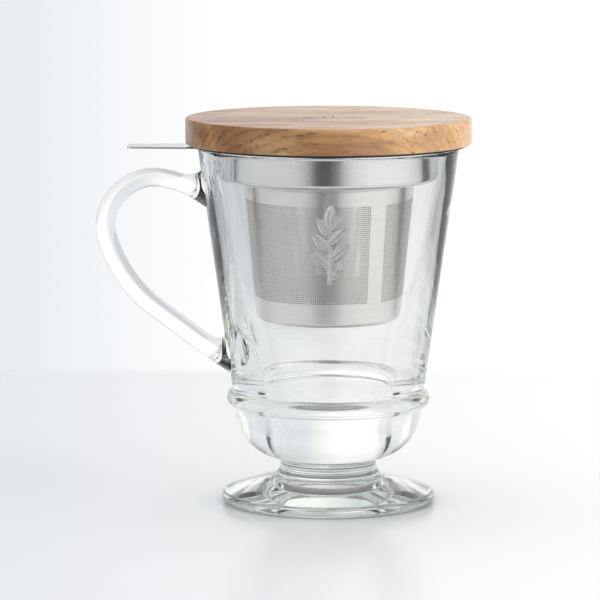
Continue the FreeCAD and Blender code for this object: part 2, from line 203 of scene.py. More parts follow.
def mugLine(reliefRows):
    rows = [(wallRadius(height), height) for height in reliefRows]
    return roundedLine([
        (0, mug["hollowDepth"]),
        (mug["hollowRadius"] - mug["hollowDepth"] * 0.5, mug["hollowDepth"], mug["hollowRound"]),
        (mug["hollowRadius"], 0),
        (mug["footRadius"], 0, mug["footEdgeRound"]),
        (mug["footRadius"], mug["footEdge"], mug["footEdgeRound"]),
        (mug["stemRadius"], mug["stemBottom"], mug["stemBottomRound"]),
        (mug["stemRadius"], mug["stemTop"], mug["stemTopRound"]),
        (mug["bowlRadius"], mug["bowlHeight"], mug["bowlRound"]),
        *beadLine(),
        *rows,
        (mug["rimRadius"], mug["rimHeight"], mug["rimOuterRound"]),
        (mug["rimRadius"] - mug["rimWall"], mug["rimHeight"], mug["rimInnerRound"]),
        (mug["floorRadius"], mug["floorHeight"], mug["floorRound"]),
        (0, mug["floorHeight"]),
    ], turnStep=6.0)


sprig = {
    "bottom": 77.5, "top": 105.5,     # the finely divided patch of the wall
    "halfAngle": 14.5,
    "height": 1.25,                   # how far a leaf stands out
    "stemFoot": 79.0, "stemTop": 100.0, "stemHeight": 0.7, "stemHalfWidth": 0.5,
    "vein": 0.45, "veinHalfWidth": 0.22,
    "leaves": [                       # x and height of the base, lean from upright, length, width
        (0.0, 97.5, 4, 7.4, 3.6),
        (0.2, 94.2, -34, 7.6, 3.2), (-0.2, 96.0, 36, 6.8, 3.0),
        (0.1, 89.0, -42, 8.6, 3.5), (-0.1, 91.2, 43, 8.4, 3.4),
        (-0.1, 83.6, -47, 9.0, 3.6), (0.1, 85.9, 48, 9.0, 3.6),
        (-0.4, 79.8, 60, 6.4, 2.8),
    ],
}


def reliefHeight(across, up):
    # Height of the moulded sprig at a place on the front of the wall.
    bend = 0.35 * math.sin((up - sprig["stemFoot"]) * 0.22)
    share = (up - sprig["stemFoot"]) / (sprig["stemTop"] - sprig["stemFoot"])
    best = 0.0
    if -0.03 < share < 1.0:
        side = abs(across - bend) / (sprig["stemHalfWidth"] * (1.25 - 0.5 * share))
        best = sprig["stemHeight"] * max(0.0, 1 - side * side) ** 0.6
    for baseX, baseUp, lean, length, width in sprig["leaves"]:
        angle = math.radians(lean)
        dx, dz = across - baseX, up - baseUp
        run = (dx * math.sin(angle) + dz * math.cos(angle)) / length
        side = dx * math.cos(angle) - dz * math.sin(angle)
        if 0 < run < 1:
            half = 0.5 * width * math.sin(math.pi * run ** 0.8) ** 0.85 + 0.02
            off = abs(side) / half
            if off < 1:
                dome = (1 - off * off) ** 0.55 * min(1.0, 4 * run, 5 * (1 - run)) ** 0.5
                groove = sprig["vein"] * math.exp(-(side / sprig["veinHalfWidth"]) ** 2)
                ribs = 0.10 * math.sin((run * length + abs(side) * 0.9) * 5.2)
                best = max(best, sprig["height"] * dome - (groove + ribs) * min(1.0, dome * 1.2))
    return best


handle = {
    "topJoin": 105.94, "topRise": 15.75, "sideLean": 18.65, "armSlope": 36.82,
    "reach": 84.05, "sideLength": 45.96, "topBend": 16.6, "bendGap": 0.3,
    "depth": 10.6, "sink": 1.6,
    "upperNeck": 8.6, "upperPad": 12.8, "lowerNeck": 11.0, "lowerPad": 15.1, "padSpread": 2.4,
    "lowerLift": 3.4, "growth": 1.9,
    "thickness": [(0, 6.2), (22, 6.5), (48, 7.1), (75, 7.0), (100, 6.8), (200, 6.6)],
}


def handleRoute():
    # The handle's middle line in (out from the axis, up), from inside the wall and back into it.
    rise, lean, slope = (math.radians(handle[n]) for n in ("topRise", "sideLean", "armSlope"))
    topRadius = wallRadius(handle["topJoin"])
    cornerUp = handle["topJoin"] + (handle["reach"] - topRadius) * math.tan(rise)
    elbow = (handle["reach"] - handle["sideLength"] * math.sin(lean),
             cornerUp - handle["sideLength"] * math.cos(lean))
    halfTop = (math.radians(90) + rise + lean) / 2
    halfLow = (math.radians(90) - lean - slope) / 2
    left = handle["sideLength"] - handle["topBend"] * math.tan(halfTop) - handle["bendGap"]
    fall = elbow[1] - (elbow[0] - mug["bowlRadius"]) * math.tan(slope) - mug["bowlHeight"]
    lowUp = mug["bowlHeight"] + fall / (1 - wallSlope * math.tan(slope))
    sink = handle["sink"]
    line = roundedLine([
        (topRadius - sink * math.cos(rise), handle["topJoin"] - sink * math.sin(rise)),
        (handle["reach"], cornerUp, handle["topBend"]),
        (*elbow, left / math.tan(halfLow)),
        (wallRadius(lowUp) - sink * math.cos(slope) * 1.35, lowUp - sink * math.sin(slope) * 1.35),
    ], turnStep=3.0)
    return [Vector((-p[0], 0, p[1])) * mm for p in line]


def blendedValue(table, where):
    for (a, first), (b, last) in zip(table, table[1:]):
        if where <= b:
            return first + (last - first) * (where - a) / (b - a)
    return table[-1][1]


def makeHandle():
    route = handleRoute()
    length = sum((b - a).length for a, b in zip(route, route[1:])) / mm
    upperTilt = math.radians(handle["topRise"] + wallLean)
    lowerTilt = math.radians(handle["armSlope"] + wallLean)

    def shares(run):
        # How far each end's flare has grown at this place along the handle.
        top = 1 - max(0.0, run - handle["sink"]) / handle["upperNeck"]
        low = 1 - max(0.0, length - run - handle["sink"] * 1.35) / handle["lowerNeck"]
        return max(0.0, top) ** handle["growth"], max(0.0, low) ** handle["growth"]

    def section(run):
        top, low = shares(run)
        thick = blendedValue(handle["thickness"], run) / 2
        deep = handle["depth"] / 2
        high = thick + (handle["upperPad"] / 2 * math.cos(upperTilt) - thick) * top
        high += (handle["lowerPad"] / 2 * math.cos(lowerTilt) - thick) * low
        deep += ((handle["upperPad"] + handle["padSpread"]) / 2 - handle["depth"] / 2) * top
        deep += ((handle["lowerPad"] + handle["padSpread"]) / 2 - handle["depth"] / 2) * low
        return deep, high

    # A straight bar drawn out along X, ring by ring, and then bent along the route.
    stations = []
    run = 0.0
    while run < length:
        stations.append(run)
        run += 0.7 if min(run, length - run) < 13 else 2.2
    if length - stations[-1] < 0.4:
        stations.pop()
    stations.append(length)
    bpy.ops.mesh.primitive_circle_add(vertices=48, radius=1, fill_type="NGON", rotation=(0, math.pi / 2, 0))
    bar = bpy.context.object
    bar.name = "handleBar"
    bpy.ops.object.transform_apply(rotation=True)
    bpy.ops.object.mode_set(mode="EDIT")
    before = section(0)
    bpy.ops.transform.resize(value=(1, before[0] * mm, before[1] * mm))
    for here, there in zip(stations, stations[1:]):
        bpy.ops.mesh.extrude_region_move(TRANSFORM_OT_translate={"value": ((there - here) * mm, 0, 0)})
        after = section(there)
        bpy.ops.transform.resize(value=(1, after[0] / before[0], after[1] / before[1]),
                                 center_override=(there * mm, 0, 0))
        before = after
    finishShell()
    for vertex in bar.data.vertices:
        # Each end's sections lean to lie along the wall, and the lower flare climbs a little.
        top, low = shares(vertex.co.x / mm)
        vertex.co.z -= handle["lowerLift"] * math.cos(lowerTilt) * mm * low
        vertex.co.x += vertex.co.z * (math.tan(upperTilt) * top + math.tan(lowerTilt) * low)
    bpy.ops.curve.primitive_bezier_curve_add()
    curve = bpy.context.object
    curve.data.dimensions = "3D"
    curve.data.twist_mode = "MINIMUM"
    curve.data.splines.clear()
    spline = curve.data.splines.new("POLY")
    spline.points.add(len(route) - 1)
    for point, place in zip(spline.points, route):
        point.co = (*place, 1)
    applied(bar, "CURVE", object=curve, deform_axis="POS_X")
    bpy.data.objects.remove(curve)
    return bar


def makeMug():
    rows = [sprig["bottom"] + k * (sprig["top"] - sprig["bottom"]) / 28 for k in range(29)]
    piece = turnedPiece("mugGlass", mugLine(rows), mug["steps"])
    print("mug turned,", len(piece.data.polygons), "faces")
    carved(piece, makeHandle(), "UNION")
    print("handle joined,", len(piece.data.polygons), "faces")

    # The front of the wall is divided finely and its points are raised into the sprig.
    def onPatch(place, margin):
        height = place.z / mm
        inside = sprig["bottom"] - margin < height < sprig["top"] + margin
        outside = math.hypot(place.x, place.y) / mm > wallRadius(height) - 0.5
        return inside and outside and abs(roundFront(place)) < sprig["halfAngle"] + margin
    onlyThis(piece)
    bpy.ops.object.mode_set(mode="EDIT")
    pickFaces(piece, lambda middle, normal: onPatch(middle, 0))
    bpy.ops.mesh.subdivide(number_cuts=3)
    bpy.ops.object.mode_set(mode="OBJECT")
    for vertex in piece.data.vertices:
        if onPatch(vertex.co, 0.01):
            place = vertex.co
            out = wallRadius(place.z / mm) + reliefHeight(place.x / mm, place.z / mm)
            place.xy = place.xy.normalized() * out * mm
    smoothed(piece, 38)
    return piece


mugGlass = makeMug()
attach(mugGlass, "mug")
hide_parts("glass_cup", "cup_handle")
print("mug finished,", len(mugGlass.data.polygons), "faces")


# ---- infuser ----

collar = {
    "flangeRadius": 44.1, "sheet": 0.6, "radius": 37.8, "depth": 10.4,
    "topRound": 0.9, "bottomRound": 1.4, "shoulderDrop": 2.3, "seatWidth": 1.3,
    "tabReach": 67.4, "tabTip": 12.0, "tabRoot": 16.0, "tabCorner": 1.6, "edgeRound": 0.22,
    "tabLap": 3.0, "tabEdge": 0.16,
}
basket = {
    "topRadius": 29.35, "bottomRadius": 24.8, "height": 45.0, "thickness": 0.35,
    "baseEdge": 1.9, "baseRound": 1.3, "baseSheet": 0.5,
    "holesTop": 102.4, "holesBottom": 70.1, "rows": 49, "columns": 74, "bar": 0.13,
    "panels": [("basketPanelFront", -74.0, 28.3, 39.9), ("basketPanelRight", 39.9, 142.2, 153.8),
               ("basketPanelBack", 153.8, 256.1, 286.0)],
    "seamStep": 1.5, "punchDepth": 3,
    "baseHole": 1.2, "innerRing": 7.0, "innerCount": 6, "outerRing": 15.0, "outerCount": 12,
}
seatHeight = mug["rimHeight"] - collar["depth"] - collar["shoulderDrop"]
wallFoot = seatHeight - basket["height"] + basket["baseEdge"]


def makeCollar():
    sheet = collar["sheet"]
    top = mug["rimHeight"]
    bottom = top - collar["depth"]
    inner = collar["radius"] - sheet
    seatOuter = basket["topRadius"] + collar["seatWidth"] / 2
    seatInner = basket["topRadius"] - 0.5 - collar["seatWidth"] / 2
    edge = collar["edgeRound"]
    piece = turnedPiece("infuserCollar", roundedLine([
        (collar["flangeRadius"], top, edge),
        (collar["flangeRadius"], top + sheet, edge),
        (inner, top + sheet, collar["topRound"] + sheet),
        (inner, bottom + sheet, collar["bottomRound"]),
        (seatOuter, seatHeight + sheet),
        (seatInner, seatHeight + sheet),
        (seatInner, seatHeight),
        (seatOuter, seatHeight),
        (collar["radius"], bottom, collar["bottomRound"] + sheet),
        (collar["radius"], top, collar["topRound"]),
    ], turnStep=7.0), 220, closed=True)
    # The tab is pressed from the same sheet: a bar drawn out to the tip, with rounded corners.
    root = -(collar["radius"] + collar["tabLap"])
    bpy.ops.mesh.primitive_cube_add(size=mm, location=(root * mm, 0, (top + sheet / 2) * mm))
    tab = bpy.context.object
    bpy.ops.object.transform_apply(location=True)
    bpy.ops.object.mode_set(mode="EDIT")
    bpy.ops.transform.resize(value=(1, collar["tabRoot"], sheet), center_override=(0, 0, (top + sheet / 2) * mm))
    pickFaces(tab, lambda middle, normal: normal.x < -0.9)
    reach = collar["tabReach"] + root - 0.5
    bpy.ops.mesh.extrude_region_move(TRANSFORM_OT_translate={"value": (-reach * mm, 0, 0)})
    bpy.ops.transform.resize(value=(1, collar["tabTip"] / collar["tabRoot"], 1), center_override=(0, 0, 0))
    bpy.ops.object.mode_set(mode="OBJECT")
    onlyThis(tab)
    bpy.ops.object.mode_set(mode="EDIT")
    bpy.ops.mesh.select_mode(type="EDGE")
    bpy.ops.mesh.select_all(action="DESELECT")
    shell = bmesh.from_edit_mesh(tab.data)
    for line in shell.edges:
        a, b = (v.co for v in line.verts)
        line.select_set(abs(a.x - b.x) < 1e-6 and abs(a.y - b.y) < 1e-6 and a.x < -0.06)
    bmesh.update_edit_mesh(tab.data)
    bpy.ops.mesh.bevel(offset=collar["tabCorner"] * mm, segments=6, affect="EDGES")
    bpy.ops.mesh.select_all(action="DESELECT")
    shell = bmesh.from_edit_mesh(tab.data)
    for line in shell.edges:
        level = abs(line.verts[0].co.z - line.verts[1].co.z) < 1e-6
        line.select_set(level and line.calc_face_angle(0) > 1.0)
    bmesh.update_edit_mesh(tab.data)
    bpy.ops.mesh.bevel(offset=collar["tabEdge"] * mm, segments=2, affect="EDGES")
    finishShell()
    carved(piece, tab, "UNION")
    smoothed(piece, 38)
    return piece


def makePanel(name, start, end, seamEnd):
    # A strip of the cone: one perforated panel and the plain seam beside it.
    def at(height):
        share = (height - wallFoot) / (seatHeight - wallFoot)
        radius = basket["bottomRadius"] + (basket["topRadius"] - basket["bottomRadius"]) * share
        angle = math.radians(start)
        return Vector((radius * math.sin(angle), -radius * math.cos(angle), height)) * mm
    pitch = (basket["holesTop"] - basket["holesBottom"]) / basket["rows"]
    heights = [wallFoot] + [basket["holesBottom"] + k * pitch for k in range(basket["rows"] + 1)] + [seatHeight]
    piece = startLine(name, [at(height) for height in heights])
    seamSteps = max(6, round((seamEnd - end) / basket["seamStep"]))
    # A spin by a negative angle goes from the front towards +X.
    bpy.ops.mesh.spin(steps=basket["columns"], angle=math.radians(start - end), center=(0, 0, 0), axis=axis)
    bpy.ops.mesh.spin(steps=seamSteps, angle=math.radians(end - seamEnd), center=(0, 0, 0), axis=axis)

    def perforated(middle, normal):
        round = (roundFront(middle) - start) % 360
        return round < end - start and basket["holesBottom"] * mm < middle.z < basket["holesTop"] * mm
    pickFaces(piece, perforated)
    bpy.ops.mesh.inset(thickness=basket["bar"] * mm, use_individual=True)
    bpy.ops.mesh.delete(type="FACE")
    bpy.ops.mesh.select_all(action="SELECT")
    bpy.ops.mesh.remove_doubles(threshold=0.002 * mm)
    bpy.ops.object.mode_set(mode="OBJECT")
    first = piece.data.polygons[0]
    if first.normal.dot(first.center * Vector((1, 1, 0))) < 0:
        onlyThis(piece)
        bpy.ops.object.mode_set(mode="EDIT")
        bpy.ops.mesh.select_all(action="SELECT")
        bpy.ops.mesh.flip_normals()
        bpy.ops.object.mode_set(mode="OBJECT")
    applied(piece, "SOLIDIFY", thickness=basket["thickness"] * mm, offset=-1)
    smoothed(piece, 30)
    return piece


def makeBase():
    bottom = seatHeight - basket["height"]
    radius, sheet = basket["bottomRadius"], basket["baseSheet"]
    piece = turnedPiece("basketBase", roundedLine([
        (0, bottom),
        (radius, bottom, basket["baseRound"] + sheet),
        (radius, wallFoot),
        (radius - sheet, wallFoot),
        (radius - sheet, bottom + sheet, basket["baseRound"]),
        (0, bottom + sheet),
    ]), 192)
    places = [(0.0, 0.0)]
    for ring, count in (("innerRing", "innerCount"), ("outerRing", "outerCount")):
        for k in range(basket[count]):
            angle = 2 * math.pi * k / basket[count]
            places.append((basket[ring] * math.cos(angle), basket[ring] * math.sin(angle)))
    punches = []
    for x, y in places:
        bpy.ops.mesh.primitive_cylinder_add(vertices=24, radius=basket["baseHole"] * mm, depth=basket["punchDepth"] * mm,
                                            location=(x * mm, y * mm, bottom * mm))
        punches.append(bpy.context.object)
    bpy.ops.object.select_all(action="DESELECT")
    for punch in punches:
        punch.select_set(True)
    bpy.context.view_layer.objects.active = punches[0]
    bpy.ops.object.join()
    bpy.ops.object.transform_apply(location=True)
    carved(piece, punches[0], "DIFFERENCE")
    smoothed(piece, 38)
    return piece


infuserCollar = makeCollar()
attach(infuserCollar, "infuser")
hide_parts("infuser_collar")
print("collar finished,", len(infuserCollar.data.polygons), "faces")

panels = [makePanel(*panel) for panel in basket["panels"]]
for panel in panels:
    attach(panel, "infuser")
    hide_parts("basket_wall")
print("basket panels finished,", sum(len(panel.data.polygons) for panel in panels), "faces")

basketBase = makeBase()
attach(basketBase, "infuser")
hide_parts("basket_base")
print("basket base finished,", len(basketBase.data.polygons), "faces")


# ---- lid ----

lid = {
    "radius": 48.0, "thickness": 8.7, "edgeRound": 0.8, "underRound": 0.5,
    "spigotDepth": 6.0, "spigotRound": 1.0, "spigotRadius": 35.3,
    "gasketRadius": 46.2, "gasketThickness": 0.8, "gasketSkirt": 1.0, "gasketDepth": 4.4,
    "gasketClearance": 0.3, "fin": 0.5,
    "markGroove": 0.30, "markLift": 0.05, "markReach": 15,
    "markLeaves": [                    # x, y, turn in degrees, length, width
        (0.0, 1.2, 90, 8.6, 3.4), (-4.6, -0.8, 152, 8.4, 3.2), (4.6, -0.8, 28, 8.4, 3.2),
        (-8.2, -4.2, 180, 6.0, 2.4), (8.2, -4.2, 0, 6.0, 2.4),
    ],
}
flangeTop = mug["rimHeight"] + collar["sheet"]
lidUnder = flangeTop + lid["gasketThickness"]
lidTop = lidUnder + lid["thickness"]


def makeLid():
    spigotBottom = lidUnder - lid["spigotDepth"]
    piece = turnedPiece("lidDisc", roundedLine([
        (0, lidTop),
        (lid["radius"], lidTop, lid["edgeRound"]),
        (lid["radius"], lidUnder, lid["underRound"]),
        (lid["spigotRadius"], lidUnder),
        (lid["spigotRadius"], spigotBottom, lid["spigotRound"]),
        (0, spigotBottom),
    ]), 288)
    # A plain leaf mark is burned into the top as shallow grooves.
    for x, y, turn, length, width in lid["markLeaves"]:
        bpy.ops.mesh.primitive_torus_add(major_segments=40, minor_segments=8, major_radius=1, minor_radius=0.1)
        groove = bpy.context.object
        thin = lid["markGroove"] * mm / 0.1
        for vertex in groove.data.vertices:
            place = vertex.co
            ring = place.xy.normalized()
            fat = (place.xy.length - 1) * thin
            place.x = ring.x * length / 2 * mm + ring.x * fat
            place.y = ring.y * width / 2 * mm * (1 - 0.35 * abs(ring.x) ** 3) + ring.y * fat
            place.z *= thin
        # A little above the top, so that no point of the tool lies in the plane it cuts.
        middle = Matrix.Translation((x * mm, y * mm, (lidTop + lid["markLift"]) * mm))
        groove.data.transform(middle @ Matrix.Rotation(math.radians(turn), 4, "Z"))
        carved(piece, groove, "DIFFERENCE")
    smoothed(piece, 38)
    return piece


def makeGasket():
    skirt = lid["spigotRadius"] + lid["gasketSkirt"]
    fin = collar["radius"] - collar["sheet"] - lid["gasketClearance"]
    bottom = lidUnder - lid["gasketDepth"]
    step = (lid["gasketDepth"] - lid["gasketThickness"]) / 5
    corners = [
        (lid["gasketRadius"], lidUnder, 0.2),
        (lid["spigotRadius"], lidUnder),
        (lid["spigotRadius"], bottom),
        (skirt, bottom, 0.2),
    ]
    for foot in (1, 3):
        corners.append((skirt, bottom + step * foot - lid["fin"] / 2))
        corners.append((fin, bottom + step * foot, 0.08))
        corners.append((skirt, bottom + step * foot + lid["fin"] / 2))
    corners.append((skirt, flangeTop))
    corners.append((lid["gasketRadius"], flangeTop, 0.2))
    return turnedPiece("lidGasket", roundedLine(corners, turnStep=20), 220, closed=True)


lidDisc = makeLid()
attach(lidDisc, "lid")
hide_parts("lid_disc")
lidGasket = makeGasket()
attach(lidGasket, "lid")
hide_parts("lid_gasket")
print("lid finished,", len(lidDisc.data.polygons) + len(lidGasket.data.polygons), "faces")


# ---- materials ----

def shaderNode(tree, kind, inputs=None, **settings):
    # A node with its settings. An input is either a value or another node's output.
    made = tree.nodes.new(kind)
    for name, value in settings.items():
        setattr(made, name, value)
    for name, value in (inputs or {}).items():
        if isinstance(value, bpy.types.NodeSocket):
            tree.links.new(value, made.inputs[name])
        else:
            made.inputs[name].default_value = value
    return made


def sumNode(tree, operation, first, second=0.0, third=0.0, clamp=False):
    made = shaderNode(tree, "ShaderNodeMath", {0: first, 1: second, 2: third}, operation=operation, use_clamp=clamp)
    return made.outputs[0]


def rampNode(tree, factor, stops, interpolation="LINEAR"):
    made = shaderNode(tree, "ShaderNodeValToRGB", {"Fac": factor})
    ramp = made.color_ramp
    ramp.interpolation = interpolation
    while len(ramp.elements) < len(stops):
        ramp.elements.new(0.5)
    for element, (place, colour) in zip(ramp.elements, stops):
        element.position = place
        element.color = (*colour, 1)
    return made.outputs["Color"]


def mixNode(tree, factor, first, second, blend="MIX"):
    made = shaderNode(tree, "ShaderNodeMix", data_type="RGBA", blend_type=blend)
    for socket, value in ((made.inputs[0], factor), (made.inputs[6], first), (made.inputs[7], second)):
        if isinstance(value, bpy.types.NodeSocket):
            tree.links.new(value, socket)
        elif isinstance(value, tuple):
            socket.default_value = (*value, 1)
        else:
            socket.default_value = value
    return made.outputs[2]


def newMaterial(name):
    material = bpy.data.materials.new(name)
    material.use_nodes = True
    tree = material.node_tree
    shader = tree.nodes["Principled BSDF"]
    return material, tree, shader


def scaledPlaces(tree, scale):
    places = shaderNode(tree, "ShaderNodeTexCoord").outputs["Object"]
    return shaderNode(tree, "ShaderNodeMapping", {"Vector": places, "Scale": scale}).outputs["Vector"]


def dress(pieces, material):
    for piece in pieces:
        piece.data.materials.clear()
        piece.data.materials.append(material)


def makeHandlingGroup():
    # Faint smears and dust that polished surfaces share: a roughness to add and a mask.
    group = bpy.data.node_groups.new("handlingMarks", "ShaderNodeTree")
    for name, kind, way in (("Place", "NodeSocketVector", "INPUT"), ("Scale", "NodeSocketFloat", "INPUT"),
                            ("Base Roughness", "NodeSocketFloat", "INPUT"), ("Amount", "NodeSocketFloat", "INPUT"),
                            ("Roughness", "NodeSocketFloat", "OUTPUT"), ("Mask", "NodeSocketFloat", "OUTPUT")):
        group.interface.new_socket(name=name, in_out=way, socket_type=kind)
    inside = shaderNode(group, "NodeGroupInput")
    smear = shaderNode(group, "ShaderNodeTexNoise", {
        "Vector": inside.outputs["Place"], "Scale": inside.outputs["Scale"], "Detail": 5.0, "Roughness": 0.62})
    mask = sumNode(group, "MULTIPLY_ADD", smear.outputs["Fac"], 2.6, -0.8, clamp=True)
    rough = sumNode(group, "MULTIPLY_ADD", mask, inside.outputs["Amount"], inside.outputs["Base Roughness"])
    outside = shaderNode(group, "NodeGroupOutput")
    group.links.new(rough, outside.inputs["Roughness"])
    group.links.new(mask, outside.inputs["Mask"])
    return group


handlingMarks = makeHandlingGroup()


def handlingNode(tree, scale, base, amount):
    made = shaderNode(tree, "ShaderNodeGroup", node_tree=handlingMarks)
    tree.links.new(shaderNode(tree, "ShaderNodeTexCoord").outputs["Object"], made.inputs["Place"])
    made.inputs["Scale"].default_value = scale
    made.inputs["Base Roughness"].default_value = base
    made.inputs["Amount"].default_value = amount
    return made


glass = {
    "ior": 1.5, "tint": (0.77, 0.84, 0.74), "tintDensity": 6.0,
    "waves": (55, 55, 5), "ripple": (150, 150, 150), "rippleShare": 0.10,
    "waveStrength": 0.3, "waveHeight": 0.0003,
}


def makeGlassMaterial():
    material, tree, shader = newMaterial("pressedGlass")
    shader.inputs["Base Color"].default_value = (1.0, 1.0, 1.0, 1)
    shader.inputs["Transmission Weight"].default_value = 1.0
    shader.inputs["IOR"].default_value = glass["ior"]
    shader.inputs["Roughness"].default_value = 0.0
    # Pressed glass is never quite even: long upright waves, and a fainter ripple.
    waves = shaderNode(tree, "ShaderNodeTexNoise", {
        "Vector": scaledPlaces(tree, glass["waves"]), "Scale": 1.0, "Detail": 1.0})
    ripple = shaderNode(tree, "ShaderNodeTexNoise", {
        "Vector": scaledPlaces(tree, glass["ripple"]), "Scale": 1.0, "Detail": 1.0})
    height = sumNode(tree, "MULTIPLY_ADD", ripple.outputs["Fac"], glass["rippleShare"], waves.outputs["Fac"])
    bump = shaderNode(tree, "ShaderNodeBump", {
        "Height": height, "Strength": glass["waveStrength"], "Distance": glass["waveHeight"]})
    tree.links.new(bump.outputs["Normal"], shader.inputs["Normal"])
    depth = shaderNode(tree, "ShaderNodeVolumeAbsorption", {
        "Color": (*glass["tint"], 1), "Density": glass["tintDensity"]})
    tree.links.new(depth.outputs["Volume"], tree.nodes["Material Output"].inputs["Volume"])
    return material


steels = {
    "polishedSteel": {"colour": (0.80, 0.81, 0.82), "roughness": 0.12, "grain": 0.6, "lines": (40, 40, 4500)},
    "perforatedSteel": {"colour": (0.88, 0.865, 0.845), "roughness": 0.26, "grain": 0.8, "lines": (60, 60, 3000)},
}
steelLook = {"smearScale": 45.0, "smear": 0.10, "darkShare": 0.93, "lineStrength": 0.12, "lineHeight": 0.00002}


def makeSteelMaterial(name):
    # Brushed round the axis, so that reflections spread up and down.
    steel = steels[name]
    material, tree, shader = newMaterial(name)
    marks = handlingNode(tree, steelLook["smearScale"], steel["roughness"], steelLook["smear"])
    shader.inputs["Metallic"].default_value = 1.0
    shader.inputs["Anisotropic"].default_value = steel["grain"]
    shader.inputs["Anisotropic Rotation"].default_value = 0.25
    around = shaderNode(tree, "ShaderNodeTangent", direction_type="RADIAL", axis="Z")
    tree.links.new(around.outputs["Tangent"], shader.inputs["Tangent"])
    tree.links.new(marks.outputs["Roughness"], shader.inputs["Roughness"])
    lines = shaderNode(tree, "ShaderNodeTexNoise", {
        "Vector": scaledPlaces(tree, steel["lines"]), "Scale": 1.0, "Detail": 3.0, "Roughness": 0.7})
    dark = tuple(c * steelLook["darkShare"] for c in steel["colour"])
    tone = rampNode(tree, lines.outputs["Fac"], [(0.35, dark), (0.65, steel["colour"])])
    tree.links.new(tone, shader.inputs["Base Color"])
    bump = shaderNode(tree, "ShaderNodeBump", {
        "Height": lines.outputs["Fac"], "Strength": steelLook["lineStrength"], "Distance": steelLook["lineHeight"]})
    tree.links.new(bump.outputs["Normal"], shader.inputs["Normal"])
    return material


wood = {
    "tones": [(0.30, (0.32, 0.130, 0.040)), (0.50, (0.51, 0.25, 0.088)), (0.70, (0.66, 0.40, 0.175))],
    "ringTones": [(0.0, (0.40, 0.40, 0.40)), (0.12, (0.86, 0.86, 0.86)), (0.5, (1, 1, 1)),
                  (0.86, (0.78, 0.78, 0.78)), (1.0, (0.40, 0.40, 0.40))],
    "streakTones": [(0.34, (0.50, 0.42, 0.36)), (0.50, (0.95, 0.93, 0.90)), (0.62, (1, 1, 1))],
    "poreEdge": [(0.14, (1, 1, 1)), (0.32, (0, 0, 0))],
    "poreRings": [(0.0, (1, 1, 1)), (0.30, (0.25, 0.25, 0.25)), (0.75, (0.15, 0.15, 0.15)), (1.0, (1, 1, 1))],
    # the middle colour is painted light, paling the lid's lit side towards +X
    "poreColour": (0.16, 0.07, 0.028), "paintedLitSideColour": (0.92, 0.68, 0.42), "burnColour": (0.045, 0.025, 0.016),
    "heart": (0, 0.060, -0.100), "ringsPerMetre": 410.0, "ringShare": 0.6, "streakShare": 0.85,
    "burnStart": 0.02, "burnFade": 0.05, "topBand": 0.5,
    "smearScale": 60.0, "roughness": 0.22, "smear": 0.12, "ior": 1.45,
}


